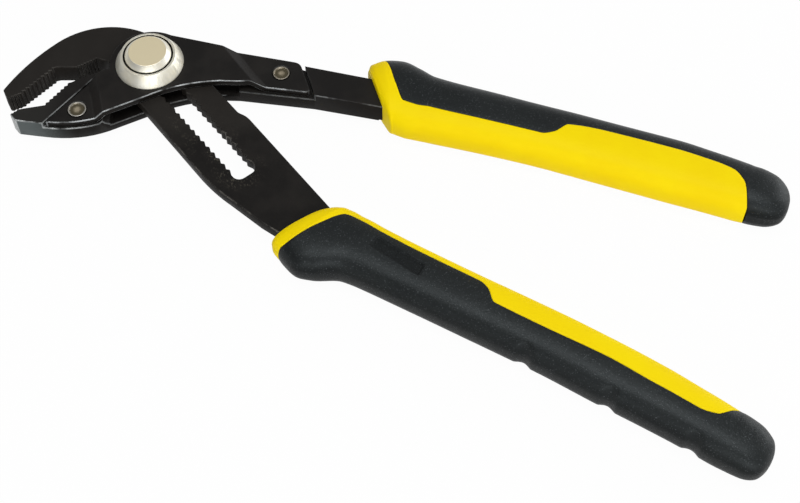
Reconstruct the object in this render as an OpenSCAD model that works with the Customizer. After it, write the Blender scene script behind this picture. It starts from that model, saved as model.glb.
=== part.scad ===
// Push-button water pump pliers, in millimetres.
// The pin axis is Z, the button is up, and the back of the upper lever lies on Z = 0.

/* [Steel] */
// Thickness of the lower jaw and of the upper handle
steel_t = 7.8; // [6.8:0.1:10]
// Thickness of the web behind the sliding lever
web_t = 3.0; // [2.6:0.1:3.8]
// Thickness of the sliding shank of the lower lever
shank_t = 4.2; // [3.6:0.1:5.5]
// Thickness of the cover plate
plate_t = 2.4; // [1.8:0.1:3.2]
// Height of the back step where the upper lever enters its grip
back_step = 0.5; // [0.35:0.05:1.2]
// Thickness of both tangs inside the grips
tang_t = 4.0; // [3:0.1:5]

/* [Jaws] */
// Radius of the round back of the hook jaw
hook_r = 26.3; // [24:0.1:29]
// Radius of the flatter back towards the nose of the hook jaw
hook_front_r = 70.9; // [60:0.1:85]
// Depth of the coarse jaw teeth
coarse_depth = 0.65; // [0.4:0.05:0.9]
// Depth of the fine jaw teeth
fine_depth = 0.4; // [0.2:0.05:0.6]
// Number of coarse teeth on the hook jaw
hook_coarse = 9; // [6:1:11]
// Number of coarse teeth on the lower jaw
low_coarse = 7; // [5:1:9]
// Number of fine teeth behind the pipe opening
rear_fine = 7; // [5:1:9]
// Number of fine teeth at each nose
nose_fine = 3; // [2:1:4]

/* [Lock] */
// Lean of the slot below the X axis
slot_angle = 51.4; // [48:0.1:56]
// Distance from one lock position to the next
tooth_pitch = 2.84; // [2.3:0.02:3.1]
// Distance of the first slot tooth root from the pin axis
tooth_offset = 0.7; // [0.4:0.05:1]
// Steps from the first lock position to the last
lock_steps = 18; // [12:6:18]
// Half width of the slot between the tooth tips
slot_tip = 3.15; // [3.1:0.05:3.5]
// Depth of the slot teeth
slot_depth = 0.85; // [0.5:0.05:1.1]
// Share of a pitch that the steep tooth flank takes
slot_rake = 0.33; // [0.2:0.01:0.5]
// Half length of the toothed part of the lock key
key_half = 3.85; // [3.8:0.05:4.4]
// Radius of the guide disc of the lock key
guide_r = 5.5; // [5.2:0.1:6]
// Radius of the flange of the lock key
flange_r = 6.4; // [6.2:0.1:7]
// Thickness of the flange of the lock key
flange_t = 1.0; // [0.8:0.05:1.3]
// Radius of the button stem
stem_r = 3.3; // [3:0.05:3.4]
// Width of the stem across its two flats
stem_flats = 4.7; // [4.4:0.1:5]
// Travel of the button
press = 2.5; // [1.8:0.1:2.6]

/* [Button and collar] */
// Radius of the flat top of the button
button_top_r = 6.2; // [5.6:0.1:6.6]
// Radius of the button at its foot
button_r = 7.65; // [7.2:0.05:7.9]
// Height of the button chamfer
button_bevel = 1.65; // [0.8:0.05:2]
// Height of the button above the collar rim
button_rise = 1.7; // [1:0.1:2.4]
// Radius of the collar bore
collar_bore_r = 8.26; // [8.2:0.02:8.6]
// Outer radius of the flat collar rim
collar_rim_r = 9.0; // [8.8:0.1:9.8]
// Radius of the collar where it stands on the plate
collar_foot_r = 11.25; // [10.5:0.05:12]
// Height of the collar above the plate
collar_h = 4.3; // [4:0.1:5.4]
// Thickness of the collar floor
floor_t = 0.6; // [0.4:0.05:0.9]
// Outer radius of the pivot spigot under the collar
spigot_r = 4.95; // [4.6:0.05:5.5]
// Radius of the spring wire
wire_r = 0.35; // [0.25:0.05:0.4]
// Number of turns of the return spring
spring_turns = 3; // [2:1:3]

/* [Cover plate] */
// Radius of the plate over the pivot
plate_hub_r = 13.3; // [12.4:0.1:13.6]
// Set-back of the plate from the lower edge of the upper lever
plate_inset = 0.8; // [0.4:0.1:1.4]
// Gap between the plate ends and the steps of the upper lever
seam = 0.4; // [0.2:0.05:0.8]
// Radius of the front rivet head
front_rivet_r = 3.05; // [2.7:0.05:3.4]
// Radius of the rear rivet head
rear_rivet_r = 2.8; // [2.6:0.05:3.2]
// Radius of both rivet shanks
rivet_shank_r = 2.1; // [1.8:0.05:2.3]
// Depth of the countersink of each rivet head
rivet_sink = 0.9; // [0.6:0.05:1.2]

/* [Grips] */
// Half thickness of both grips
grip_half_t = 7.75; // [7:0.05:9]
// Thickness of the black over-moulding
skin = 1.8; // [1.2:0.1:2.2]
// Squareness of the grip section, 2 being an ellipse
grip_square = 2.6; // [2.2:0.1:3.2]
// Length of the upper grip along its axis
upper_grip_len = 138.6; // [115:0.1:168]
// Length of the lower grip along its axis
lower_grip_len = 160; // [133:0.1:192]
// Direction of the upper grip below the X axis
upper_grip_dir = 18.87; // [18:0.01:20]
// Direction of the lower grip below the X axis
lower_grip_dir = 29.1; // [28:0.1:30]

/* [Fits] */
// Gap on each side of the sliding shank
running_gap = 0.2; // [0.1:0.05:0.4]
// Radial running clearance of round and flatted fits
turn_fit = 0.05; // [0.02:0.01:0.08]
// Clearance between the key teeth and the slot teeth
key_play = 0.18; // [0.1:0.02:0.3]
// Clearance of pieces that are fixed to each other
seat_fit = 0.05; // [0.02:0.01:0.1]
// Clearance between the levers over the whole swing
swing_gap = 0.4; // [0.3:0.05:0.8]

/* [Show] */
// Which piece to draw

/* [Hidden] */
$fn = 72;
eps = 0.01;

// Levels, from the back upwards
shank_z0 = web_t + running_gap;
shank_z1 = shank_z0 + shank_t;
raised_z0 = shank_z1 + running_gap;
raised_z1 = raised_z0 + plate_t;
seat_z = steel_t - plate_t;
rim_z = raised_z1 + collar_h;
button_z = rim_z + button_rise;
floor_z = raised_z1 + floor_t;
grip_z = steel_t / 2;

// Slot
slot_root = slot_tip + slot_depth;
slot_run = tooth_pitch * lock_steps;
slot_corner = 2.5;
end_gap = 0.3;
slot_end_u = slot_run + key_half + end_gap;
slot_start_u = -(key_half + end_gap);

// Lock
flange_z0 = 0.15;
flange_z1 = flange_z0 + flange_t;
key_top = shank_z0 - 0.1 + press;
stem_end_z = 0.2;
ring_z0 = 0.55;
ring_t = 0.5;
ring_r = 4.5;
groove_r = 2.0;
cap_t = 1.1;
skirt_t = 0.8;
collar_land = 0.25;
skirt_z = floor_z + press + 0.2;

// One side of the toothed part of the key: a tooth in the middle, half a tooth, tapered ends
key_tip = slot_tip - key_play;
key_cut = 0.72;
key_edge = [
    [-key_half, 2.2],
    [tooth_offset + (slot_rake - 1) * tooth_pitch, key_tip],
    [tooth_offset, key_tip + slot_depth],
    [tooth_offset + slot_rake * tooth_pitch, key_tip],
    [tooth_offset + key_cut * tooth_pitch,
     key_tip + slot_depth * (key_cut - slot_rake) / (1 - slot_rake)],
    [key_half, 2.2]];

// Hub of the upper lever and shoulder of the hook jaw round it
web_r = plate_hub_r - 0.3;
hook_shoulder_r = web_r + swing_gap;

// Places of the rivets and grips
front_rivet_xy = [-22.5, -17.5];
rear_rivet_xy = [43.4, -2.6];
upper_grip_xy = [74.2, -8.1];
lower_grip_xy = [49.7, -60.7];

// Points of a smooth bend from p to r that leaves p towards q
function bend(p, q, r, n = 8) =
    [for (i = [0 : n]) let (t = i / n)
        (1 - t) * (1 - t) * p + 2 * t * (1 - t) * q + t * t * r];

// Points of an arc about c
function arc(c, r, a0, a1, n) =
    [for (i = [0 : n]) let (a = a0 + (a1 - a0) * i / n)
        c + r * [cos(a), sin(a)]];

// Saw teeth along the line from p to q, standing out to its left by depth
function teeth(p, q, count, depth) =
    let (d = q - p, n = [-d[1], d[0]] / norm(d))
    [for (i = [0 : count - 1]) each
        [p + d * i / count, p + d * (i + 0.4) / count + depth * n]];

// Corner points of the saw line on one side of the slot, from its first root to its last
function saw(last) =
    [for (i = [0 : last]) let (u = tooth_offset + i * tooth_pitch)
        each i < last ? [[u, slot_root], [u + slot_rake * tooth_pitch, slot_tip]] : [[u, slot_root]]];

// Lower edge of the upper lever, from the jaw nose to the grip
lower_edge = concat(
    [[-42.1, -22.0]],
    bend([-33.8, -23.2], [-22.3, -24.9], [-12.8, -20.8]),
    bend([-0.3, -14.8], [10.7, -8.8], [23.7, -8.3]),
    [[29.7, -8.5], [54.4, -11.9], [77.3, -16.8], [84.0, -17.9]]);

// Upper edge of the upper lever behind the pivot
upper_edge = [[20.0, 7.8], [28.0, 5.6], [48.5, 1.4], [51.2, 0.35], [74.2, -5.15], [83.0, -7.75]];

// Tooth side of the lower jaw, from the nose to the throat
low_jaw_edge = concat(
    teeth([-44.0, -19.7], [-41.3, -17.5], nose_fine, fine_depth),
    [[-40.6, -17.2], [-33.0, -15.7]],
    teeth([-33.0, -15.7], [-25.7, -6.3], low_coarse, coarse_depth),
    [[-25.4, -6.2], [-24.5, -5.7]],
    teeth([-24.5, -5.7], [-18.9, -2.9], rear_fine, fine_depth),
    [[-18.6, -2.8], [-15.4, -1.0]]);

// Pocket for the sliding lever: left wall, then right wall
pocket_left = [[-15.4, -1.0], [-13.4, -4.0], [-12.2, -7.5],
    [-11.5 - swing_gap, -12.0], [-11.4 - swing_gap, -40]];
pocket_right = [[30.4, -40], [29.6, -8.0], [26.5, 20]];
// Axis of the round front end of the pocket, and room between its lip and the bend of the plate
scoop_x = -9.6;
lip_gap = 0.3;

// Steps of the upper lever against the ends of the cover plate
front_step = [[-32.8, -22.7], [-19.3, -5.7], [-15.2, -2.4]];
rear_step = [[50.6, 2.4], [54.8, -12.4]];

// Bend lines of the cover plate: direction of the normal, low and high place
front_bend = [13.2, -20.2, -17.2];
rear_bend = [35.5, 26.0, 22.9];

// Tooth side of the hook jaw, from the throat to the nose
hook_edge = concat(
    [[-14.2, 2.6], [-16.3, 3.3]],
    teeth([-18.6, 4.0], [-25.1, 0.1], rear_fine, fine_depth),
    [[-25.3, 0.2], [-31.1, 0.2]],
    teeth([-32.6, -0.2], [-42.5, -10.9], hook_coarse, coarse_depth),
    teeth([-42.5, -10.9], [-45.8, -12.5], nose_fine, fine_depth),
    [[-46.1, -12.5]]);

// Back of the hook jaw: centre of its round part, and where the flatter part runs into it
hook_c = [-14.6, -8.75];
hook_turn = 131.9;
hook_front_c = hook_c + (hook_r - hook_front_r) * [cos(hook_turn), sin(hook_turn)];

// Shank edges in the frame of the slot, along and across it
shank_right = concat([[-3.0, 11.75], [32.6, 11.98]],
    bend([33.0, 12.0], [33.7, 12.15], [34.8, 12.68], 4),
    bend([35.0, 12.77], [36.4, 13.3], [38.0, 13.3], 4), [[81.5, 12.95]]);
shank_left = concat([[79.5, -4.9], [72.2, -7.05], [63.9, -8.7]],
    bend([59, -9.67], [52, -11.35], [44, -11.3]), [[2.0, -10.95]]);

// Tangs: reach as a share of the grip, then lower and upper side across the grip axis
upper_tang = [0.72, -4.6, 2.4];
lower_tang = [0.7, -6.5, 3.0];

// Grip sections: share of the length, offset, half width, share of the half thickness,
// lean of the section, and edge of the black over-moulding as a share of the half width
upper_rows = [
    [0.0107, -1.45, 10, 0.84, 36, 0.9], [0.0196, -1.35, 12.4, 0.93, 34, 0.9],
    [0.036, 0, 13.1, 1.0, 26, 0.9], [0.051, 0.5, 13.4, 1.0, 21, 0.1],
    [0.072, 0.75, 13.6, 1.0, 17, -0.42], [0.109, 0.25, 12.55, 1.0, 13.5, -0.43],
    [0.144, -0.35, 11.35, 1.0, 10, -0.37], [0.29, 0.45, 10.45, 1.0, 2, -0.38],
    [0.415, 1.0, 10.1, 1.0, 0, -0.38], [0.444, 1.1, 10.1, 1.0, 0, -0.21],
    [0.469, 1.15, 10.15, 1.0, 0, 0.19], [0.577, 1.2, 10.2, 1.0, 0, 0.34],
    [0.721, 1.3, 10.3, 1.0, 0, 0.36], [0.808, 1.0, 9.8, 1.0, 0, 0.34],
    [0.855, 0.75, 9.55, 0.99, 0, 0.27], [0.887, 0.5, 9.35, 0.98, 0, -0.06],
    [0.909, 0.4, 9.1, 0.97, 0, -0.9]];
upper_butt = [
    [0.912, 0.4, 9.1, 0.97, 0], [0.952, 0.1, 8.4, 0.9, 0],
    [0.983, -0.5, 6.2, 0.68, 0], [0.998, -0.9, 2.6, 0.36, 0]];
lower_rows = [
    [0.0155, -0.6, 11, 0.8, 28, 0.9], [0.026, -0.65, 12.45, 0.9, 26, 0.9],
    [0.0386, -0.5, 13.1, 0.97, 23, 0.9], [0.0476, -0.1, 13.45, 1.0, 19, 0.07],
    [0.072, 0.6, 13.95, 1.0, 13, -0.69], [0.094, 0.18, 13.12, 1.0, 10, -0.73],
    [0.141, -1.85, 10.5, 1.0, 5, -0.66], [0.168, -1.95, 10.05, 1.0, 2, -0.64],
    [0.25, -1.9, 9.7, 1.0, 0, -0.607], [0.382, -1.93, 9.5, 1.0, 0, -0.59],
    [0.403, -1.95, 9.5, 1.0, 0, -0.45], [0.429, -2, 9.5, 1.0, 0, -0.06],
    [0.54, -2.08, 9.48, 1.0, 0, -0.03], [0.665, -1.5, 9.6, 1.0, 0, -0.1],
    [0.763, -0.9, 9.3, 1.0, 0, -0.04], [0.845, 0.05, 8.8, 1.0, 0, -0.04],
    [0.88, 0.55, 8.7, 0.99, 0, -0.2], [0.903, 0.95, 8.6, 0.98, 0, -0.7],
    [0.917, 1.12, 8.52, 0.97, 0, -0.95]];
lower_butt = [
    [0.92, 1.12, 8.52, 0.97, 0], [0.955, 1.5, 8.2, 0.9, 0],
    [0.986, 2, 6.3, 0.68, 0], [0.998, 2, 2.8, 0.36, 0]];
// Number of bare sections at the yellow collar, and of steps round a section
bare_rows = 2;
skin_steps = 16;
open_steps = 14;

black = [0.11, 0.11, 0.12];
steel = [0.2, 0.19, 0.18];
nickel = [0.8, 0.78, 0.7];
yellow = [0.98, 0.84, 0.1];

// Round bar with two flats
module flatted(r, w, h) {
    intersection() {
        cylinder(r = r, h = h);
        translate([-r - 1, -w / 2, 0])
            cube([2 * r + 2, w, h]);
    }
}

// Puts what follows into the frame of the slot
module in_slot() {
    rotate([0, 0, -slot_angle])
        children();
}

// Puts what follows into the frame of the upper grip
module in_upper_grip() {
    translate([upper_grip_xy[0], upper_grip_xy[1], grip_z])
        rotate([0, 0, -upper_grip_dir])
            children();
}

// Puts what follows into the frame of the lower grip, outer side to +Y
module in_lower_grip() {
    translate([lower_grip_xy[0], lower_grip_xy[1], grip_z])
        rotate([0, 0, -lower_grip_dir])
            mirror([0, 1, 0])
                children();
}

module upper_lever_form() {
    linear_extrude(height = steel_t)
        polygon(concat(
            low_jaw_edge,
            arc([0, 0], web_r, 185, 62, 40),
            upper_edge,
            [for (i = [len(lower_edge) - 1 : -1 : 0]) lower_edge[i]]));
}

// Rivet with a rolled rim round a shallow dish, closed flush at the back
module rivet_form(head_r) {
    top = steel_t + 0.12;
    rotate_extrude()
        polygon([
            [0, 0.05],
            [head_r, 0.05],
            [head_r, 0.15],
            [rivet_shank_r, rivet_sink],
            [rivet_shank_r, steel_t - rivet_sink],
            [head_r, steel_t - 0.15],
            [head_r, top - 0.15],
            [head_r - 0.15, top],
            [head_r - 0.5, top],
            [head_r - 0.75, top - 0.4],
            [0, top - 0.4]]);
}

// Bore of a rivet, wide at its head and tail
module rivet_bore(head_r) {
    r = head_r + seat_fit;
    s = rivet_shank_r + seat_fit;
    rotate_extrude()
        polygon([
            [0, -eps], [r, -eps], [r, 0.15], [s, rivet_sink],
            [s, steel_t - rivet_sink], [r, steel_t - 0.15],
            [r, steel_t + eps], [0, steel_t + eps]]);
}

module rivet_bores() {
    translate(front_rivet_xy)
        rivet_bore(front_rivet_r);
    translate(rear_rivet_xy)
        rivet_bore(rear_rivet_r);
}

// Everything behind the collar face of a grip, moved forward by lead
module behind_collar(row, len, lead) {
    translate([row[0] * len, row[1], 0])
        rotate([0, 0, row[4]])
            translate([-seat_fit - lead, -60, -20])
                cube([120, 120, 40]);
}

// Tang bar, from the given place to its end inside the grip
module tang_bar(tang, len, from, z) {
    translate([from, tang[1], z])
        cube([tang[0] * len - from, tang[2] - tang[1], tang_t]);
}

module upper_lever() {
    color(steel)
    union() {
        difference() {
            upper_lever_form();
            // Pocket in which the lower lever swings
            translate([0, 0, web_t])
                linear_extrude(height = steel_t)
                    polygon(concat(pocket_left, pocket_right, [[-30, 20]]));
            // Round front end of the pocket
            translate([scoop_x, -9, steel_t])
                rotate([90, 0, 0])
                    cylinder(r = steel_t - web_t - 0.1, h = 30);
            // Seats of the cover plate, the front one with a lip under the bend of the plate
            intersection() {
                linear_extrude(height = 2 * steel_t)
                    polygon(concat(front_step, [[0, 20], [0, -40], [-47.0, -40]]));
                rotate([0, 0, front_bend[0]])
                    rotate([90, 0, 0])
                        linear_extrude(height = 120, center = true)
                            polygon([
                                [-70, seat_z], [front_bend[1] + lip_gap, seat_z],
                                [front_bend[2] + lip_gap, raised_z0], [40, raised_z0],
                                [40, 2 * steel_t], [-70, 2 * steel_t]]);
            }
            translate([0, 0, seat_z])
                linear_extrude(height = steel_t)
                    polygon(concat(rear_step, [[62.0, -40], [0, -40], [0, 20], [45.0, 20]]));
            // Guide bore and flange bore of the lock key
            translate([0, 0, -eps])
                cylinder(r = guide_r + turn_fit, h = steel_t);
            translate([0, 0, -eps])
                cylinder(r = flange_r + swing_gap, h = flange_z1 + seat_fit + eps);
            rivet_bores();
            in_upper_grip()
                behind_collar(upper_rows[0], upper_grip_len, 0);
            // Back step in front of the grip
            in_upper_grip()
                translate([0, 0, back_step - grip_z - 20])
                    behind_collar(upper_rows[0], upper_grip_len, 1.2);
        }
        in_upper_grip()
            tang_bar(upper_tang, upper_grip_len, -5, -tang_t / 2);
    }
}

// Bent strip of plate: flat low end, ramp and raised part
module joggle(turn, low, high, from, to) {
    s = sign(low - high);
    k = plate_t * 0.25 * s;
    rotate([0, 0, turn])
        rotate([90, 0, 0])
            linear_extrude(height = 120, center = true)
                polygon([
                    [from, seat_z], [low, seat_z], [high, raised_z0], [to, raised_z0],
                    [to, raised_z1], [high + k, raised_z1], [low + k, steel_t], [from, steel_t]]);
}

module cover_plate() {
    // Lower edge that follows the lever under it, and the two rounded rear corners
    low = [for (p = lower_edge) if (p[0] > -33 && p[0] < 40) p + plate_inset * [-0.3, 0.95]];
    color(steel)
    difference() {
        intersection() {
            linear_extrude(height = raised_z1 + 1)
                polygon(concat(
                    [[-32.8 + seam, -22.7], [-19.3 + seam, -5.7 - seam / 2], [-15.2, -2.4 - seam]],
                    arc([0, 0], plate_hub_r, 190, 63, 40),
                    [[20.2, 8.3], [28.2, 6.2]],
                    bend([47.6, 2.1], [49.4, 1.7], [50.0, 0.2], 5),
                    bend([52.9, -9.0], [53.3, -10.4], [51.6, -10.5], 5),
                    [[36.0, -8.3], [33.4, -7.6]],
                    [for (i = [len(low) - 1 : -1 : 0]) low[i]],
                    [[-31.8, -22.9]]));
            union() {
                joggle(front_bend[0], front_bend[1], front_bend[2], -60, 5);
                joggle(rear_bend[0], rear_bend[1], rear_bend[2], 80, -5);
            }
        }
        cylinder(r = spigot_r + turn_fit, h = 40);
        rivet_bores();
    }
}

module front_rivet() {
    color(nickel)
        translate(front_rivet_xy)
            rivet_form(front_rivet_r);
}

module rear_rivet() {
    color(nickel)
        translate(rear_rivet_xy)
            rivet_form(rear_rivet_r);
}

// Toothed slot with plain rounded ends
module slot_form(h) {
    edge = concat(
        arc([slot_start_u + slot_corner, slot_root - slot_corner], slot_corner, 180, 90, 8),
        saw(lock_steps),
        arc([slot_end_u - slot_corner, slot_root - slot_corner], slot_corner, 90, 0, 8));
    linear_extrude(height = h)
        polygon(concat(edge,
            [for (i = [len(edge) - 1 : -1 : 0]) [edge[i][0], -edge[i][1]]]));
}

// Shank with the hook jaw, as one outline
function hook_outline() = concat(
    hook_edge,
    arc(hook_front_c, hook_front_r, 152.6, hook_turn + 2.5, 8),
    arc(hook_c, hook_r, hook_turn, 60, 26));

module lower_lever() {
    color(steel)
    difference() {
        union() {
            difference() {
                translate([0, 0, shank_z0])
                    linear_extrude(height = shank_t)
                        polygon(concat(
                            hook_outline(),
                            [for (p = concat(shank_right, shank_left))
                                [p[0] * cos(slot_angle) + p[1] * sin(slot_angle),
                                 p[1] * cos(slot_angle) - p[0] * sin(slot_angle)]],
                            [[-10.1, -5.7], [-12.0, -2.4]]));
                in_lower_grip()
                    behind_collar(lower_rows[0], lower_grip_len, 0);
            }
            // Full thickness of the hook jaw in front of the hub
            difference() {
                linear_extrude(height = shank_z1)
                    polygon(concat(hook_outline(), [[-5, 0]]));
                translate([0, 0, -1])
                    cylinder(r = hook_shoulder_r, h = shank_z1 + 2);
            }
            in_lower_grip()
                tang_bar(lower_tang, lower_grip_len, -5, shank_z0 - grip_z);
        }
        in_slot()
            translate([0, 0, -1])
                slot_form(40);
    }
}

// Point of a grip section at angle g, 0 being the outer side
function section(a, b, g) =
    let (c = cos(g), s = sin(g), e = 2 / grip_square)
    [a * sign(c) * pow(abs(c), e), b * sign(s) * pow(abs(s), e)];

// Place of a section point in the grip frame
function put(row, len, p) =
    [row[0] * len - p[0] * sin(row[4]), row[1] + p[0] * cos(row[4]), p[1]];

// Angle at which the over-moulding ends on a section
function edge_angle(row) = acos(sign(row[5]) * pow(abs(row[5]), grip_square / 2));

// Ring of points of the core, lowered by depth under the over-moulding
function core_ring(row, len, depth) =
    let (g = edge_angle(row), a = row[2], b = grip_half_t * row[3])
    [for (i = [0 : skin_steps])
        put(row, len, section(a - depth, b - depth, g * (2 * i / skin_steps - 1))),
     for (i = [0 : open_steps])
        put(row, len, section(a, b, g + (360 - 2 * g) * i / open_steps))];

// Ring of points of the over-moulding, out along the surface and back underneath
function skin_ring(row, len) =
    let (g = edge_angle(row) - 0.4, a = row[2], b = grip_half_t * row[3], d = skin - seat_fit)
    [for (i = [0 : skin_steps])
        put(row, len, section(a, b, g * (2 * i / skin_steps - 1))),
     for (i = [0 : skin_steps])
        put(row, len, section(a - d, b - d, g * (1 - 2 * i / skin_steps)))];

// Ring of points of the solid end of the over-moulding
function butt_ring(row, len) =
    let (g = 172, a = row[2], b = grip_half_t * row[3],
         p = section(a, b, g), q = section(a, b, -g))
    [for (i = [0 : skin_steps])
        put(row, len, section(a, b, g * (2 * i / skin_steps - 1))),
     for (i = [0 : skin_steps])
        put(row, len, p + (q - p) * (i + 1) / (skin_steps + 2))];

// Ring of points on a rectangular channel, in the order of a core ring
function channel_ring(row, len, w, z) =
    let (g = edge_angle(row), k = cos(row[4]), n = skin_steps + open_steps + 2,
         y0 = (w[0] - row[1]) / k, y1 = (w[1] - row[1]) / k)
    [for (i = [0 : n - 1])
        let (q = ((i - skin_steps / 2) / n * 8 + 16) % 8)
        put(row, len, [
            q <= 1 || q >= 7 ? y1 : q < 3 ? y1 + (y0 - y1) * (q - 1) / 2
                : q <= 5 ? y0 : y0 + (y1 - y0) * (q - 5) / 2,
            q <= 1 ? (z[0] + z[1]) / 2 + (z[1] - z[0]) / 2 * q
                : q <= 3 ? z[1] : q <= 5 ? z[1] + (z[0] - z[1]) * (q - 3) / 2
                : q <= 7 ? z[0] : (z[0] + z[1]) / 2 + (z[1] - z[0]) / 2 * (q - 8)])];

// Closed body from a chain of rings of n points, with a middle point for each flat end
module chain(rings, n, first, last) {
    m = len(rings);
    polyhedron(
        concat([for (r = rings) each r], [first, last]),
        concat(
            [for (i = [0 : m - 2]) for (j = [0 : n - 1])
                let (k = (j + 1) % n, p = i * n, q = p + n)
                each [[p + j, q + j, q + k], [p + j, q + k, p + k]]],
            [for (j = [0 : n - 1]) [m * n, j, (j + 1) % n]],
            [for (j = [0 : n - 1])
                [m * n + 1, (m - 1) * n + (j + 1) % n, (m - 1) * n + j]]));
}

// Yellow core with the channel of its tang
module grip_core(rows, len, w, z, reach) {
    n = skin_steps + open_steps + 2;
    deep = [reach, 0, 0, 0, 0, 0.9];
    step = rows[bare_rows];
    lip = [step[0] - 0.2 / len, step[1], step[2], step[3], step[4], step[5]];
    chain(
        concat(
            [channel_ring(deep, len, w, z), channel_ring(rows[0], len, w, z)],
            [for (i = [0 : bare_rows - 1]) core_ring(rows[i], len, 0.05)],
            [core_ring(lip, len, 0.05)],
            [for (i = [bare_rows : len(rows) - 1]) core_ring(rows[i], len, skin)]),
        n,
        [reach * len, (w[0] + w[1]) / 2, (z[0] + z[1]) / 2],
        put(rows[len(rows) - 1], len, [0, 0]));
}

// Black over-moulding: a skin on the outer side that closes to a solid end
module grip_cover(rows, butt, len) {
    n = 2 * skin_steps + 2;
    body = [for (i = [bare_rows : len(rows) - 1]) skin_ring(rows[i], len)];
    ends = [for (r = butt) butt_ring(r, len)];
    rings = concat(body, ends);
    m = len(rings);
    polyhedron(
        concat([for (r = rings) each r], [put(butt[len(butt) - 1], len, [0, 0])]),
        concat(
            [for (i = [0 : m - 2]) for (j = [0 : n - 1])
                let (k = (j + 1) % n, p = i * n, q = p + n)
                each j < skin_steps ? [[p + j, q + j, q + k], [p + j, q + k, p + k]]
                    : [[p + j, q + j, p + k], [q + j, q + k, p + k]]],
            [for (j = [0 : skin_steps - 1]) let (u = n - 1 - j)
                each [[j, j + 1, u - 1], [j, u - 1, u]]],
            [for (j = [0 : n - 1])
                [m * n, (m - 1) * n + (j + 1) % n, (m - 1) * n + j]]));
}

module upper_grip_core() {
    color(yellow)
        in_upper_grip()
            grip_core(upper_rows, upper_grip_len,
                [upper_tang[1] - seat_fit, upper_tang[2] + seat_fit],
                [-tang_t / 2 - seat_fit, tang_t / 2 + seat_fit],
                upper_tang[0] + 0.5 / upper_grip_len);
}

module upper_grip_cover() {
    color(black)
        in_upper_grip()
            grip_cover(upper_rows, upper_butt, upper_grip_len);
}

module lower_grip_core() {
    z = shank_z0 - grip_z;
    color(yellow)
        in_lower_grip()
            grip_core(lower_rows, lower_grip_len,
                [lower_tang[1] - seat_fit, lower_tang[2] + seat_fit],
                [z - seat_fit, z + tang_t + seat_fit],
                lower_tang[0] + 0.5 / lower_grip_len);
}

module lower_grip_cover() {
    color(black)
        in_lower_grip()
            grip_cover(lower_rows, lower_butt, lower_grip_len);
}

module pivot_collar() {
    color(nickel)
    difference() {
        union() {
            // Bright rim and straight cone on a low foot
            rotate_extrude()
                polygon([
                    [0, raised_z1],
                    [collar_foot_r, raised_z1],
                    [collar_foot_r, raised_z1 + collar_land],
                    [collar_rim_r, rim_z],
                    [0, rim_z]]);
            translate([0, 0, raised_z0 + 0.1])
                cylinder(r = spigot_r, h = plate_t);
        }
        translate([0, 0, floor_z])
            cylinder(r = collar_bore_r, h = 20);
        in_slot()
            translate([0, 0, -1])
                flatted(stem_r + turn_fit, stem_flats + 2 * turn_fit, 40);
    }
}

module push_button() {
    color(nickel)
    difference() {
        union() {
            rotate_extrude()
                polygon([
                    [0, skirt_z],
                    [button_r, skirt_z],
                    [button_r, button_z - button_bevel],
                    [button_top_r, button_z],
                    [0, button_z]]);
            in_slot()
                translate([0, 0, stem_end_z])
                    flatted(stem_r, stem_flats, button_z - cap_t - stem_end_z);
        }
        // Spring space under the cap, round the stem
        difference() {
            translate([0, 0, skirt_z - eps])
                cylinder(r = button_r - skirt_t, h = button_z - cap_t - skirt_z + eps);
            in_slot()
                flatted(stem_r, stem_flats, 40);
        }
        // Groove of the retaining ring
        translate([0, 0, ring_z0])
            difference() {
                cylinder(r = stem_r + 1, h = ring_t);
                translate([0, 0, -eps])
                    cylinder(r = groove_r, h = ring_t + 2 * eps);
            }
    }
}

module lock_key() {
    color(steel)
    difference() {
        union() {
            translate([0, 0, flange_z0])
                cylinder(r = flange_r, h = flange_t);
            translate([0, 0, flange_z0])
                cylinder(r = guide_r, h = web_t + 0.05 - flange_z0);
            in_slot()
                translate([0, 0, web_t])
                    linear_extrude(height = key_top - web_t)
                        polygon(concat(key_edge,
                            [for (i = [len(key_edge) - 1 : -1 : 0])
                                [key_edge[i][0], -key_edge[i][1]]]));
        }
        translate([0, 0, flange_z0 - eps])
            cylinder(r = ring_r + 0.2, h = ring_z0 + ring_t - flange_z0 + eps);
        in_slot()
            translate([0, 0, -1])
                flatted(stem_r + seat_fit, stem_flats + 2 * seat_fit, 40);
    }
}

module retaining_ring() {
    color(steel)
    difference() {
        translate([0, 0, ring_z0 + seat_fit / 2])
            cylinder(r = ring_r, h = ring_t - seat_fit);
        cylinder(r = groove_r + seat_fit, h = 10);
        rotate([0, 0, 38])
            translate([0, -1.2, 0])
                cube([10, 2.4, 10]);
    }
}

module return_spring() {
    sides = 6;
    rings = 8 * spring_turns;
    z0 = floor_z + wire_r + 0.02;
    z1 = button_z - cap_t - wire_r - 0.02;
    r0 = button_r - skirt_t - wire_r - 0.1;
    r1 = stem_r + wire_r + 0.9;
    points = [for (i = [0 : rings]) let (t = i / rings, a = 45 * i, r = r0 + (r1 - r0) * t)
        for (j = [0 : sides - 1]) let (b = 360 * j / sides, q = r + wire_r * cos(b))
            [q * cos(a), q * sin(a), z0 + (z1 - z0) * t + wire_r * sin(b)]];
    walls = [for (i = [0 : rings - 1]) for (j = [0 : sides - 1])
        let (k = (j + 1) % sides, p = i * sides, q = p + sides)
            each [[p + j, q + j, q + k], [p + j, q + k, p + k]]];
    color(nickel)
        polyhedron(points, concat(walls,
            [[for (j = [0 : sides - 1]) j]],
            [[for (j = [sides - 1 : -1 : 0]) rings * sides + j]]));
    echo("spring self-gap", norm([(r0 - r1), z1 - z0]) / spring_turns - 2 * wire_r);
}

upper_lever();
cover_plate();
front_rivet();
rear_rivet();
upper_grip_core();
upper_grip_cover();
lower_lever();
lower_grip_core();
lower_grip_cover();
pivot_collar();
push_button();
lock_key();
retaining_ring();
return_spring();
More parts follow.
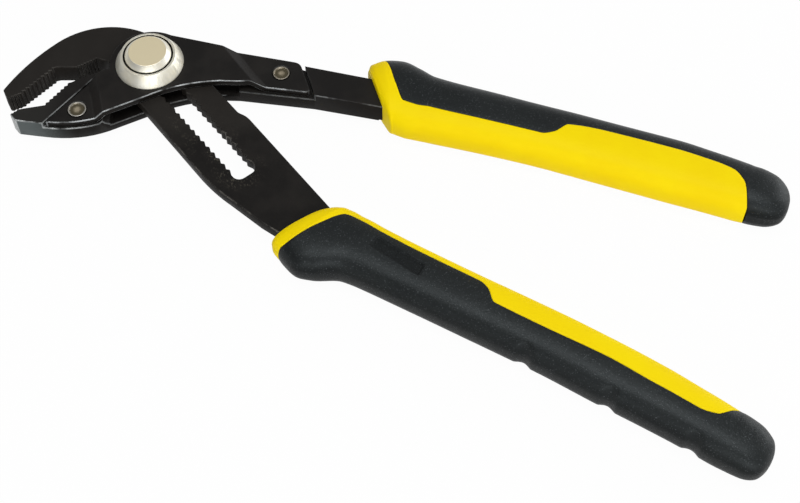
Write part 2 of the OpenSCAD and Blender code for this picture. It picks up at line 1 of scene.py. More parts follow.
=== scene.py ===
"""Looks of push-button water pump pliers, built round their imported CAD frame.

Sizes are in millimetres in the frame of the CAD model, and a mesh is written in metres.
"""

import logging
import math
from dataclasses import dataclass, field
from enum import Enum
from typing import Any, Optional

import bmesh
import bpy
import numpy as np
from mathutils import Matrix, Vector


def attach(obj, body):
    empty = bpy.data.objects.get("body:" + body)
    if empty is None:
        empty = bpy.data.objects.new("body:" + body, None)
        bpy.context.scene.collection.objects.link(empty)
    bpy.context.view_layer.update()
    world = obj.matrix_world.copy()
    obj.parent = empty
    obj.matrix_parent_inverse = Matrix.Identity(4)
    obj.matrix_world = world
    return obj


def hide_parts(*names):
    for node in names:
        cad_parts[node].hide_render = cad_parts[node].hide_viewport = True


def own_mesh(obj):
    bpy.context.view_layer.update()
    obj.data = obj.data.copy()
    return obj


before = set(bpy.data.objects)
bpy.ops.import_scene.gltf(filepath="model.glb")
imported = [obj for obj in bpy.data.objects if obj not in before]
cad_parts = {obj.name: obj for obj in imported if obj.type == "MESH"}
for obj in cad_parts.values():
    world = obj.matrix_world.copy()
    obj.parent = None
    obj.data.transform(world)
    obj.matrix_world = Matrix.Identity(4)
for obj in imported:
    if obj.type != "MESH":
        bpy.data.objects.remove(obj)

MM = 0.001
LOG = logging.getLogger("pliers")
Array = np.ndarray
Colour = tuple[float, float, float]
Point = tuple[float, float, float]
Object = bpy.types.Object
Material = bpy.types.Material
Tree = bpy.types.NodeTree
Socket = bpy.types.NodeSocket

# Points of a mesh nearer than this are one, and edges shorter than the second go, in metres
MERGE, SLIVER = 2e-6, 1e-7
# Angle in degrees past which an edge of a new surface stays sharp
CREASE = 35.0
# Copies of steel pieces: angle under which faces are joined, angle from which an edge is broken, and
# strips in a round
JOINED, BROKEN, STRIPS = 0.5, 28.0, 2
# Upward part of a normal from which a face counts as level
LEVEL = 0.9999
# Edge wear with a painted highlight: what an edge that faces away from the lit front keeps, and the range
# of turning to that front, -Y
WEAR_AND_SHEEN_LEAST = 0.02
WEAR_AND_SHEEN_FROM, WEAR_AND_SHEEN_TO = 0.1, 0.4


class Slot(Enum):
    """Material slots of the record."""

    BLACK_STEEL = "black_steel"
    NICKEL = "nickel"
    SPRING_STEEL = "spring_steel"
    YELLOW_PLASTIC = "yellow_plastic"
    BLACK_RUBBER = "black_rubber"


class Body(Enum):
    """Moving bodies of the record."""

    UPPER = "upper_half"
    PIVOT = "pivot"
    BUTTON = "lock_button"
    LOWER = "lower_half"


def smooth_through(x: Array, y: Array, at: Array) -> Array:
    """Monotone cubic through given points.

    Each stretch is a Hermite cubic. Its end slopes are weighted harmonic means of the slopes on
    both sides of the point, and zero where these differ in sign.

    Args:
        x: rising places of the points.
        y: values at the points.
        at: places to work the curve out at.

    Returns:
        The values at those places.
    """
    step = np.diff(x)
    slope = np.diff(y) / step
    left, right = slope[:-1], slope[1:]
    w_left, w_right = 2 * step[1:] + step[:-1], step[1:] + 2 * step[:-1]
    same = left * right > 0
    safe = np.where(same, w_left / np.where(same, left, 1) + w_right / np.where(same, right, 1), 1)
    inner = np.where(same, (w_left + w_right) / safe, 0.0)
    m = np.concatenate([[slope[0]], inner, [slope[-1]]])
    k = np.clip(np.searchsorted(x, at, side="right") - 1, 0, len(x) - 2)
    h = step[k]
    t = np.clip((at - x[k]) / h, 0, 1)
    a, b = (1 + 2 * t) * (1 - t) ** 2, t * (1 - t) ** 2
    c, d = t * t * (3 - 2 * t), t * t * (t - 1)
    return a * y[k] + b * h * m[k] + c * y[k + 1] + d * h * m[k + 1]


def ring_quads(rows: int, n: int) -> Array:
    """Quads of a tube of closed rings.

    Args:
        rows: number of rings, which follow each other.
        n: points a ring.

    Returns:
        Four point numbers a row.
    """
    i, j = np.meshgrid(np.arange(rows - 1), np.arange(n), indexing="ij")
    p, k = i * n + j, i * n + (j + 1) % n
    return np.stack([p, k, k + n, p + n], axis=-1).reshape(-1, 4)


def fan(centre: int, first: int, n: int) -> Array:
    """Triangles from one middle point to a closed ring.

    Args:
        centre: number of the middle point.
        first: number of the ring's first point.
        n: points of the ring.

    Returns:
        Three point numbers a row.
    """
    j = np.arange(n)
    return np.stack([np.full(n, centre), first + j, first + (j + 1) % n], axis=-1)


def added(name: str, data: Any) -> Object:
    """Adds an object to the scene.

    Args:
        name: name of the object.
        data: its mesh, lamp or camera.

    Returns:
        The new object, at the origin.
    """
    obj = bpy.data.objects.new(name, data)
    bpy.context.scene.collection.objects.link(obj)
    return obj


def solid(name: str, points: Array, faces: list[Array]) -> Object:
    """Writes a closed solid: doubles merged, normals outwards, smooth but for creases.

    Args:
        name: name of the piece.
        points: points in millimetres, three columns.
        faces: arrays of quads or triangles.

    Returns:
        The new object.
    """
    mesh = bpy.data.meshes.new(name)
    mesh.from_pydata((points * MM).tolist(), [], sum((f.tolist() for f in faces), []))
    bm = bmesh.new()
    bm.from_mesh(mesh)
    bmesh.ops.remove_doubles(bm, verts=bm.verts, dist=MERGE)
    bmesh.ops.dissolve_degenerate(bm, edges=bm.edges, dist=SLIVER)
    bmesh.ops.recalc_face_normals(bm, faces=bm.faces)
    bm.to_mesh(mesh)
    bm.free()
    mesh.shade_smooth()
    mesh.set_sharp_from_angle(angle=math.radians(CREASE))
    return added(name, mesh)


def tube(name: str, rings: Array) -> Object:
    """Writes a tube of closed rings whose two ends are closed by fans to their middles.

    Args:
        name: name of the piece.
        rings: points in millimetres, by ring, point and axis.

    Returns:
        The new object.
    """
    rows, n = rings.shape[:2]
    ends = np.stack([rings[0].mean(axis=0), rings[-1].mean(axis=0)])
    return solid(name, np.vstack([rings.reshape(-1, 3), ends]), [
        ring_quads(rows, n), fan(rows * n, 0, n), fan(rows * n + 1, (rows - 1) * n, n)])


def face_values(mesh: bpy.types.Mesh, key: str, width: int, kind: type) -> Array:
    """Reads a property of all faces.

    Args:
        mesh: the mesh.
        key: name of the property.
        width: numbers a face.
        kind: type of the numbers.

    Returns:
        One row a face.
    """
    values = np.zeros(width * len(mesh.polygons), kind)
    mesh.polygons.foreach_get(key, values)
    return values.reshape(-1, width)


def mark_edge_wear_and_sheen(mesh: bpy.types.Mesh) -> None:
    """Turns the mark of the rounds, material 1, into the face attribute "edge", and sets level normals.

    The attribute is 0 between the rounds. On a round it grows from nearly 0 to 1 in a straight line as the
    face turns to -Y, towards the lit front, which makes it a painted highlight as well as wear. The
    corners of level faces get the normal of their face.

    Args:
        mesh: the mesh with its rounds.
    """
    mark = face_values(mesh, "material_index", 1, np.int32)[:, 0]
    normal = face_values(mesh, "normal", 3, np.float32)
    total = face_values(mesh, "loop_total", 1, np.int32)[:, 0]
    mesh.polygons.foreach_set("material_index", np.zeros_like(mark))
    # painted highlight: rounds turned to -Y, the lit front, take more of the edge wear
    front = np.clip((-normal[:, 1] - WEAR_AND_SHEEN_FROM) / (WEAR_AND_SHEEN_TO - WEAR_AND_SHEEN_FROM), 0, 1)
    layer = mesh.attributes.new("edge", "FLOAT", "FACE")
    layer.data.foreach_set("value", (mark * (WEAR_AND_SHEEN_LEAST + (1 - WEAR_AND_SHEEN_LEAST) * front)).astype(np.float32))
    mesh.materials.clear()
    corner = np.zeros(3 * len(mesh.loops), np.float32)
    mesh.corner_normals.foreach_get("vector", corner)
    level = np.repeat((mark == 0) & (np.abs(normal[:, 2]) > LEVEL), total)
    corner = np.where(level[:, None], np.repeat(normal, total, axis=0), corner.reshape(-1, 3))
    mesh.normals_split_custom_set(corner.tolist())


def eased_copy(node: str, width: float) -> Object:
    """Copy of a CAD node with its sharp edges broken by a small round.

    Its triangles are merged and flat faces joined, then every sharp edge gets a round of the given
    width. The rounds are marked for wear, and those facing -Y for a painted highlight as well.

    Args:
        node: the CAD node.
        width: width of the round in millimetres.

    Returns:
        The new object.
    """
    name = node + "_eased"
    bm = bmesh.new()
    bm.from_mesh(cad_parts[node].data)
    bmesh.ops.remove_doubles(bm, verts=bm.verts, dist=MERGE)
    bmesh.ops.dissolve_limit(bm, angle_limit=math.radians(JOINED), verts=bm.verts, edges=bm.edges)
    mesh = bpy.data.meshes.new(name + "_raw")
    bm.to_mesh(mesh)
    bm.free()
    mesh.materials.clear()
    mesh.materials.append(None)
    mesh.materials.append(None)
    mesh.polygons.foreach_set("material_index", np.zeros(len(mesh.polygons), np.int32))
    mesh.shade_smooth()
    obj = added(name, mesh)
    ease = obj.modifiers.new("ease", "BEVEL")
    ease.limit_method, ease.angle_limit = "ANGLE", math.radians(BROKEN)
    ease.width, ease.segments, ease.profile = width * MM, STRIPS, 0.5
    ease.use_clamp_overlap, ease.loop_slide, ease.harden_normals = False, False, True
    ease.material = 1
    obj.update_tag()
    bpy.context.view_layer.update()
    eased = bpy.data.meshes.new_from_object(obj.evaluated_get(bpy.context.evaluated_depsgraph_get()))
    obj.modifiers.clear()
    obj.data = eased
    eased.name = name
    bpy.data.meshes.remove(mesh)
    mark_edge_wear_and_sheen(eased)
    return obj


class Graph:
    """Short hand for adding and joining the nodes of one tree."""

    def __init__(self, tree: Tree) -> None:
        """Keeps the tree that nodes are added to."""
        self.tree = tree

    def add(self, kind: str, values: Optional[dict] = None, **settings: Any) -> bpy.types.Node:
        """Adds a node.

        Args:
            kind: type of the node.
            values: a value or a source socket for each input, by name or number.
            settings: properties of the node.

        Returns:
            The node.
        """
        node = self.tree.nodes.new(kind)
        for key, value in settings.items():
            setattr(node, key, value)
        for key, value in (values or {}).items():
            if isinstance(value, Socket):
                self.tree.links.new(value, node.inputs[key])
            elif isinstance(value, tuple) and len(value) == 3 and node.inputs[key].type == "RGBA":
                node.inputs[key].default_value = (*value, 1.0)
            else:
                node.inputs[key].default_value = value
        return node

    def noise(self, vector: Socket, scale: Any, detail: float = 4.0, rough: float = 0.55) -> Socket:
        """Noise from 0 to 1, scale being waves a metre."""
        return self.add("ShaderNodeTexNoise", {
            "Vector": vector, "Scale": scale, "Detail": detail, "Roughness": rough}).outputs["Fac"]

    def sums(self, operation: str, a: Any, b: Any = 0.0, c: Any = 0.0) -> Socket:
        """Result of a Math node."""
        return self.add("ShaderNodeMath", {0: a, 1: b, 2: c}, operation=operation).outputs[0]

    def times(self, a: Any, b: Any) -> Socket:
        """Product of two values."""
        return self.sums("MULTIPLY", a, b)

    def length(self, x: Any, y: Any) -> Socket:
        """Length of a vector of two parts."""
        return self.sums("SQRT", self.sums("MULTIPLY_ADD", x, x, self.times(y, y)))

    def span(self, value: Any, low: Any, high: Any, to_low: Any = 0.0, to_high: Any = 1.0) -> Socket:
        """Carries a value smoothly from one range to another, and holds it at the ends.

        Args:
            value: the value.
            low: start of its range.
            high: end of its range.
            to_low: result at the start.
            to_high: result at the end.

        Returns:
            The result.
        """
        return self.add("ShaderNodeMapRange", {
            "Value": value, "From Min": low, "From Max": high, "To Min": to_low, "To Max": to_high},
            interpolation_type="SMOOTHSTEP").outputs[0]

    def mix(self, share: Any, a: Any, b: Any) -> Socket:
        """Colour a turned into colour b by a share."""
        return self.add("ShaderNodeMix", {0: share, 6: a, 7: b}, data_type="RGBA").outputs[2]

    def parts(self, vector: Socket) -> Any:
        """The three outputs of a split vector."""
        return self.add("ShaderNodeSeparateXYZ", {0: vector}).outputs

    def bump(self, height: Socket, distance: float, strength: float) -> Socket:
        """Normal of a height, distance in metres."""
        return self.add("ShaderNodeBump", {
            "Strength": strength, "Distance": distance, "Height": height}).outputs["Normal"]


def group(name: str, inputs: dict[str, tuple[str, Any]], outputs: dict[str, str]) -> Tree:
    """New shader node group with named sockets.

    Args:
        name: name of the group.
        inputs: type and first value of each input.
        outputs: type of each output.

    Returns:
        The tree, with its group input and output nodes in place.
    """
    tree = bpy.data.node_groups.new(name, "ShaderNodeTree")
    for key, (kind, value) in inputs.items():
        made = tree.interface.new_socket(key, in_out="INPUT", socket_type=kind)
        if value is not None:
            made.default_value = value
    for key, kind in outputs.items():
        tree.interface.new_socket(key, in_out="OUTPUT", socket_type=kind)
    tree.nodes.new("NodeGroupInput")
    tree.nodes.new("NodeGroupOutput")
    return tree


FLOAT, VECTOR = "NodeSocketFloat", "NodeSocketVector"


class Effects:
    """Node groups that several finishes share."""

    def __init__(self) -> None:
        """Builds each group once."""
        self.grain = self.make_grain()
        self.wear_and_sheen = self.make_wear()
        self.mottle = self.make_mottle()

    @staticmethod
    def ends(tree: Tree) -> tuple[Any, Any]:
        """Sockets of the group's input node and of its output node."""
        return tree.nodes["Group Input"].outputs, tree.nodes["Group Output"].inputs

    def make_grain(self) -> Tree:
        """Moulded grain: a height of fine cells and coarser waves, and a mask of sparse bright specks.

        Returns:
            The node group.
        """
        tree = group("moulded_grain", {
            "Vector": (VECTOR, None), "Scale": (FLOAT, 2600.0), "Specks": (FLOAT, 0.7)},
            {"Height": FLOAT, "Speck": FLOAT})
        src, out = self.ends(tree)
        g = Graph(tree)
        fine = g.noise(src["Vector"], src["Scale"], 2.0, 0.6)
        coarse = g.noise(src["Vector"], g.times(src["Scale"], 0.22), 3.0)
        tree.links.new(g.sums("MULTIPLY_ADD", coarse, 0.6, fine), out["Height"])
        speck = g.noise(src["Vector"], g.times(src["Scale"], 0.8), 1.0, 0.4)
        tree.links.new(g.span(speck, src["Specks"], g.sums("ADD", src["Specks"], 0.06)), out["Speck"])
        return tree

    def make_wear(self) -> Tree:
        """Edge wear with a painted highlight, as marked on the rounds: the broken edges, thinned out by
        noise.

        Returns:
            The node group.
        """
        tree = group("edge_wear_and_sheen", {
            "Vector": (VECTOR, None), "Edge": (FLOAT, 0.0), "Amount": (FLOAT, 0.5)}, {"Mask": FLOAT})
        src, out = self.ends(tree)
        g = Graph(tree)
        patch = g.noise(src["Vector"], 160.0, 5.0, 0.65)
        low = g.sums("SUBTRACT", 0.95, src["Amount"])
        kept = g.span(patch, low, g.sums("ADD", low, 0.3))
        tree.links.new(g.times(kept, src["Edge"]), out["Mask"])
        return tree

    def make_mottle(self) -> Tree:
        """Uneven finish: a mask of broad clouds and one of fine grit.

        Returns:
            The node group.
        """
        tree = group("uneven_finish", {
            "Vector": (VECTOR, None), "Clouds": (FLOAT, 90.0), "Grit": (FLOAT, 1500.0)},
            {"Cloud": FLOAT, "Grit": FLOAT})
        src, out = self.ends(tree)
        g = Graph(tree)
        cloud = g.noise(src["Vector"], src["Clouds"], 6.0, 0.6)
        tree.links.new(g.span(cloud, 0.32, 0.72), out["Cloud"])
        tree.links.new(g.noise(src["Vector"], src["Grit"], 3.0, 0.7), out["Grit"])
        return tree


EFFECTS = Effects()


class Canvas(Graph):
    """Tree of one material: its shader, its object coordinates and its effects."""

    def __init__(self, name: str, **plain: Any) -> None:
        """Starts a material.

        Args:
            name: name of the material.
            plain: values on the shader's own sockets, with _ for each space.
        """
        self.material = bpy.data.materials.new(name)
        self.material.use_nodes = True
        super().__init__(self.material.node_tree)
        self.shader = self.tree.nodes["Principled BSDF"]
        for key, value in plain.items():
            self.shader.inputs[key.replace("_", " ")].default_value = value
        self.place = self.add("ShaderNodeTexCoord").outputs["Object"]

    def effect(self, tree: Tree, **values: Any) -> Any:
        """Places a shared effect.

        Args:
            tree: its node group.
            values: a value or a source socket for each input.

        Returns:
            Its outputs.
        """
        return self.add("ShaderNodeGroup", {"Vector": self.place, **values}, node_tree=tree).outputs

    def radius(self, centre: tuple[float, float]) -> Socket:
        """Distance from an upright axis.

        Args:
            centre: place of the axis in millimetres.

        Returns:
            The distance in metres.
        """
        x, y, _ = self.parts(self.add("ShaderNodeMapping", {
            "Vector": self.place,
            "Location": (-centre[0] * MM, -centre[1] * MM, 0.0)}).outputs[0])
        return self.length(x, y)

    def facing(self, axis: int) -> Socket:
        """Part of the normal along an axis of the piece."""
        return self.parts(self.add("ShaderNodeTexCoord").outputs["Normal"])[axis]

    def edge(self) -> Socket:
        """The attribute that marks broken edges for wear and, towards -Y, a painted highlight."""
        return self.add("ShaderNodeAttribute", attribute_name="edge").outputs["Fac"]

    def finish(self, **linked: Socket) -> Material:
        """Joins sockets to the shader.

        Args:
            linked: source of each input of the shader, with _ for each space.

        Returns:
            The material.
        """
        for key, value in linked.items():
            self.tree.links.new(value, self.shader.inputs[key.replace("_", " ")])
        return self.material


@dataclass(frozen=True)
class BlackenedSteel:
    """Oil-blackened forged steel, warm near-black, with worn edges that also carry a painted highlight
    where they face -Y.

    A hole is its place and radius. The slot leans below the X axis by its angle in degrees, and the
    ground nose lies across its axis at its reach from the pin.
    """

    name: str = "blackened_steel"
    dark: Colour = (0.0058, 0.0050, 0.0045)
    brown: Colour = (0.0110, 0.0093, 0.0078)
    bare: Colour = (0.33, 0.345, 0.35)
    grit_tint: Colour = (0.03, 0.027, 0.023)
    scuff_tint: Colour = (0.10, 0.09, 0.07)
    hook_tint: Colour = (0.019, 0.0165, 0.014)
    jaw_tint: Colour = (0.02, 0.0195, 0.0175)
    # painted light: paler blue-grey of jaw faces turned to the front
    painted_side_light_tint: Colour = (0.095, 0.11, 0.11)
    wear_and_sheen: float = 0.62
    gloss: float = 0.25
    scuffed: bool = False
    ground_nose: bool = False
    holes: tuple[Point, ...] = ()
    slot_angle: float = 51.4
    slot_run: float = 51.1
    nose_axis: Point = (-0.77, -0.64, 0.0)
    nose_reach: float = 46.1

    def build(self) -> Material:
        """Clouded near-black with grit and duller sides, and bare metal on the worn edges, which is also a
        painted highlight where they face -Y.

        Edges at a rivet hole are hardly worn.

        Returns:
            The material.
        """
        c = Canvas(self.name)
        patch = c.effect(EFFECTS.mottle)
        worn_and_lit = c.effect(EFFECTS.wear_and_sheen, Edge=c.edge(), Amount=self.wear_and_sheen)["Mask"]
        colour = c.mix(patch["Cloud"], self.dark, self.brown)
        grit = c.span(patch["Grit"], 0.62, 0.8)
        colour = c.mix(c.times(grit, 0.35), colour, self.grit_tint)
        rough = c.span(patch["Cloud"], 0.0, 1.0, 0.40, 0.52)
        for x, y, r in self.holes:
            worn_and_lit = c.times(worn_and_lit, c.span(c.radius((x, y)), (r + 0.5) * MM, (r + 0.7) * MM, 0.1, 1.0))
        if self.scuffed:
            hook = c.span(c.parts(c.place)[1], -0.030, -0.022)
            colour = c.mix(self.scuffs(c), colour, self.scuff_tint)
            colour = c.mix(c.times(hook, 0.7), colour, self.hook_tint)
            worn_and_lit = c.times(worn_and_lit, c.span(hook, 0.0, 1.0, 1.0, 0.25))
        if self.ground_nose:
            x = c.parts(c.place)[0]
            colour = c.mix(c.span(x, -0.034, -0.026, 0.75, 0.0), colour, self.jaw_tint)
            # painted light: faces of the jaw turned to -Y, towards the front lamp, get a paler blue-grey
            colour = c.mix(self.painted_jaw_side_light(c), colour, self.painted_side_light_tint)
            worn_and_lit = c.times(worn_and_lit, c.span(x, -0.034, -0.014, 1.0, 0.3))
            worn_and_lit = c.sums("MAXIMUM", worn_and_lit, self.nose(c, patch["Grit"]))
        # bare metal on the marked rounds: wear, and painted highlight where they face -Y
        colour = c.mix(worn_and_lit, colour, self.bare)
        flat = c.sums("ABSOLUTE", c.facing(2))
        return c.finish(
            Base_Color=colour,
            Specular_IOR_Level=c.span(flat, 0.2, 0.8, 0.3 * self.gloss, self.gloss),
            Roughness=c.span(worn_and_lit, 0.0, 1.0, rough, 0.3),
            Metallic=c.times(worn_and_lit, 0.8),
            Normal=c.bump(patch["Grit"], 0.00002, 0.5))

    @staticmethod
    def painted_jaw_side_light(c: Canvas) -> Socket:
        """Painted light on the outer side of the lower jaw: faces turned to -Y take a paler blue-grey,
        fading from the nose to the pivot.
        """
        x = c.parts(c.place)[0]
        return c.times(c.span(c.facing(1), -0.9, -0.6, 1.0, 0.0), c.span(x, -0.040, -0.022, 1.0, 0.0))

    def nose(self, c: Canvas, grit: Socket) -> Socket:
        """Ground end of the lower jaw: what lies past its plane, broken up by grit.

        Args:
            c: canvas of the material.
            grit: mask of fine grit.

        Returns:
            A mask.
        """
        reach = c.add("ShaderNodeVectorMath", {0: c.place, 1: self.nose_axis},
                      operation="DOT_PRODUCT").outputs["Value"]
        end = c.span(reach, self.nose_reach * MM, (self.nose_reach + 0.2) * MM)
        return c.times(end, c.span(grit, 0.3, 0.6, 0.35, 0.8))

    def scuffs(self, c: Canvas) -> Socket:
        """Pale rub marks in a band round the slot and its end, broken up by coarse and fine noise.

        The band is measured from the slot's middle line, whose end is round.

        Args:
            c: canvas of the material.

        Returns:
            A mask.
        """
        turned = c.add("ShaderNodeMapping", {
            "Vector": c.place, "Rotation": (0.0, 0.0, math.radians(self.slot_angle))}).outputs[0]
        along, across, _ = c.parts(turned)
        ahead = c.sums("MAXIMUM", c.sums("SUBTRACT", along, self.slot_run * MM), 0.0)
        off = c.length(ahead, across)
        band = c.times(c.span(off, 0.0062, 0.0105, 1.0, 0.0), c.span(along, 0.010, 0.020))
        streak = c.times(c.span(c.noise(turned, 1700.0, 4.0, 0.65), 0.52, 0.68),
                         c.span(c.noise(turned, 190.0, 3.0), 0.42, 0.58))
        side = c.span(across, -0.004, 0.004, 0.75, 0.2)
        return c.times(c.times(band, side), streak)


@dataclass(frozen=True)
class SatinNickel:
    """Nickel plate: blasted on flat tops, turned on the slopes, with a painted reflection tone on each."""

    name: str = "satin_nickel"
    tint: Colour = (0.88, 0.86, 0.76)
    shade: Colour = (0.92, 0.82, 0.57)
    gap_shade_tint: Colour = (0.012, 0.011, 0.010)

    def build(self) -> Material:
        """Warm plate with fine rings round the pin axis, a duller, blasted top whose warmer colour is a
        painted reflection, and painted shade in the ring gap.

        Returns:
            The material.
        """
        c = Canvas(self.name, Metallic=0.8)
        patch = c.effect(EFFECTS.mottle, Clouds=260.0, Grit=5200.0)
        x, y, z = c.parts(c.place)
        radius = c.length(x, y)
        ring = c.add("ShaderNodeCombineXYZ", {0: radius, 1: c.times(z, 0.6), 2: 0.0}).outputs[0]
        lines = c.noise(ring, 9000.0, 2.0, 0.6)
        up = c.parts(c.add("ShaderNodeNewGeometry").outputs["Normal"])[2]
        # painted reflection: level faces on the button top take the warmer shade colour of the dim sky
        # they reflect, the slopes the paler tint
        flat = c.times(c.span(up, 0.9, 0.99), c.span(z, 0.0152, 0.0156))
        colour = c.mix(c.span(patch["Cloud"], 0.0, 1.0, 0.0, 0.3), self.tint, self.shade)
        colour = c.mix(flat, colour, self.shade)
        # painted shade in the gap between the button and the collar bore
        gap_shade = c.times(c.span(radius, 0.00832, 0.0084, 1.0, 0.0), c.span(z, 0.0139, 0.0142, 1.0, 0.0))
        colour = c.mix(gap_shade, colour, self.gap_shade_tint)
        rough = c.span(flat, 0.0, 1.0, 0.42, 0.55)
        rough = c.sums("MULTIPLY_ADD", c.sums("SUBTRACT", patch["Grit"], 0.5), 0.18, rough)
        height = c.sums("MULTIPLY_ADD", lines, 0.5, patch["Grit"])
        return c.finish(Base_Color=colour, Roughness=rough, Normal=c.bump(height, 0.000012, 0.6))


@dataclass(frozen=True)
class PeenedSteel:
    """Rivet head: a pale rolled rim round a darker dish with a lighter middle."""

    name: str
    centre: tuple[float, float]
    head_r: float
    pale: Colour
    dull: Colour = (0.138, 0.117, 0.074)
    middle: Colour = (0.58, 0.50, 0.36)

    def build(self) -> Material:
        """Colours by distance from the rivet axis, stained by noise.

        Returns:
            The material.
        """
        c = Canvas(self.name, Metallic=0.85)
        radius = c.radius(self.centre)
        patch = c.effect(EFFECTS.mottle, Clouds=700.0, Grit=4200.0)
        stray = c.sums("MULTIPLY_ADD", c.sums("SUBTRACT", patch["Cloud"], 0.5), 0.0005, radius)
        r = self.head_r * MM
        colour = c.mix(c.span(stray, 0.06 * r, 0.52 * r), self.middle, self.dull)
        colour = c.mix(c.span(stray, 0.74 * r, 0.86 * r), colour, self.pale)
        colour = c.mix(c.times(patch["Cloud"], 0.35), colour, self.dull)
        return c.finish(
            Base_Color=colour,
            Roughness=c.span(patch["Grit"], 0.2, 0.8, 0.30, 0.52),
            Normal=c.bump(patch["Grit"], 0.00003, 0.6))


@dataclass(frozen=True)
class DrawnWire:
    """Bright drawn spring wire and small lock parts."""

    name: str = "drawn_wire"
    tint: Colour = (0.42, 0.41, 0.39)
    shade: Colour = (0.28, 0.27, 0.25)

    def build(self) -> Material:
        """Clouded grey steel with fine grit.

        Returns:
            The material.
        """
        c = Canvas(self.name, Metallic=1.0)
        patch = c.effect(EFFECTS.mottle, Clouds=300.0, Grit=3800.0)
        return c.finish(
            Base_Color=c.mix(patch["Cloud"], self.tint, self.shade),
            Roughness=c.span(patch["Grit"], 0.2, 0.8, 0.26, 0.46),
            Normal=c.bump(patch["Grit"], 0.00001, 0.5))


@dataclass(frozen=True)
class YellowPlastic:
    """Satin moulded polypropylene."""

    name: str = "yellow_plastic"
    tint: Colour = (0.99, 0.765, 0.001)
    deep: Colour = (0.96, 0.70, 0.001)

    def build(self) -> Material:
        """Strong yellow with faint flow clouds and a fine moulded grain.

        Returns:
            The material.
        """
        c = Canvas(self.name, Specular_IOR_Level=0.08)
        patch = c.effect(EFFECTS.mottle, Clouds=45.0, Grit=2600.0)
        grain = c.effect(EFFECTS.grain, Scale=3200.0)
        return c.finish(
            Base_Color=c.mix(c.times(patch["Cloud"], 0.8), self.tint, self.deep),
            Roughness=c.span(patch["Grit"], 0.2, 0.8, 0.46, 0.56),
            Normal=c.bump(grain["Height"], 0.000006, 0.4))


@dataclass(frozen=True)
class BlackRubber:
    """Matt thermoplastic rubber with a fine speckled grain, and a stippled pad where it has one."""

    name: str = "black_rubber"
    pad_place: Optional[Point] = None
    pad_half: tuple[float, float] = (0.0, 0.0)
    tint: Colour = (0.0058, 0.0068, 0.0070)
    dusty: Colour = (0.0092, 0.0107, 0.0107)
    speck: Colour = (0.06, 0.066, 0.07)
    pad_tint: Colour = (0.004, 0.0045, 0.0045)

    def build(self) -> Material:
        """Near-black, faintly cool, with dusty clouds, grain and bright specks, and a duller pad.

        Returns:
            The material.
        """
        c = Canvas(self.name, Specular_Tint=(0.86, 0.95, 0.98, 1.0))
        patch = c.effect(EFFECTS.mottle, Clouds=60.0, Grit=1800.0)
        grain = c.effect(EFFECTS.grain, Scale=3200.0, Specks=0.65)
        colour = c.mix(patch["Cloud"], self.tint, self.dusty)
        colour = c.mix(c.times(grain["Speck"], 0.8), colour, self.speck)
        gloss = c.span(c.facing(2), 0.2, 0.8, 0.1, 0.34)
        height = grain["Height"]
        if self.pad_place is not None:
            pad = self.pad_mask(c)
            colour = c.mix(c.times(pad, 0.5), colour, self.pad_tint)
            height = c.sums("MULTIPLY_ADD", c.times(pad, patch["Grit"]), 2.5, height)
            gloss = c.times(gloss, c.span(pad, 0.0, 1.0, 1.0, 0.6))
        return c.finish(
            Base_Color=colour,
            Specular_IOR_Level=gloss,
            Roughness=c.span(patch["Grit"], 0.2, 0.8, 0.34, 0.46),
            Normal=c.bump(height, 0.00009, 0.9))

    def pad_mask(self, c: Canvas) -> Socket:
        """1 inside the pad's rectangle on the upper face and 0 outside, in the pad's own turned axes.

        Args:
            c: canvas of the material.

        Returns:
            A mask.
        """
        x, y, turn = self.pad_place
        along, across, up = c.parts(c.add("ShaderNodeMapping", {
            "Vector": c.place, "Location": (x * MM, y * MM, 0.0),
            "Rotation": (0.0, 0.0, turn)}, vector_type="TEXTURE").outputs[0])
        inside = [
            c.span(c.sums("ABSOLUTE", value), (half - 0.3) * MM, half * MM, 1.0, 0.0)
            for value, half in zip((along, across), self.pad_half)]
        return c.times(c.times(*inside), c.span(up, 0.006, 0.007))


def place(obj: Object, body: Body, slot: Slot, finish: Material, *nodes: str) -> Object:
    """Dresses a piece, sets it on its body and hides the CAD nodes it stands for.

    Args:
        obj: the piece.
        body: the body that it rides on.
        slot: not used.
        finish: its material.
        nodes: the CAD nodes that it replaces.

    Returns:
        The piece.
    """
    obj.data.materials.clear()
    obj.data.materials.append(finish)
    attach(obj, body.value)
    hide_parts(*nodes)
    LOG.info("%s: %d points on %s", obj.name, len(obj.data.vertices), body.value)
    return obj


def rim_drop(distance: Array, radius: float) -> Array:
    """Drop of a rounded rim: a quarter circle of that radius, measured in from the edge."""
    t = np.clip((radius - distance) / radius, 0, 1)
    return radius * (1 - np.sqrt(np.maximum(1 - t * t, 0)))


@dataclass(frozen=True)
class Scallop:
    """Shallow finger groove across the outer side of a grip."""

    place: float
    depth: float = 0.85
    half_length: float = 3.0
    full_to: float = 26.0
    gone_at: float = 56.0

    def drop(self, along: Array, angle: Array) -> Array:
        """Depth of the groove: a rounded trough along the grip with rounded ends round the section.

        It is the full depth times (1 - u^2 - v^2)^1.5, with u the place along the grip in half lengths and
        v the angle past the full part, in shares of the run out.

        Args:
            along: places along the grip.
            angle: angles round the section in radians, 0 being the outer side.

        Returns:
            The depths.
        """
        u = (along - self.place) / self.half_length
        v = np.maximum(np.abs(np.degrees(angle)) - self.full_to, 0) / (self.gone_at - self.full_to)
        return self.depth * np.maximum(1 - u * u - v * v, 0) ** 1.5


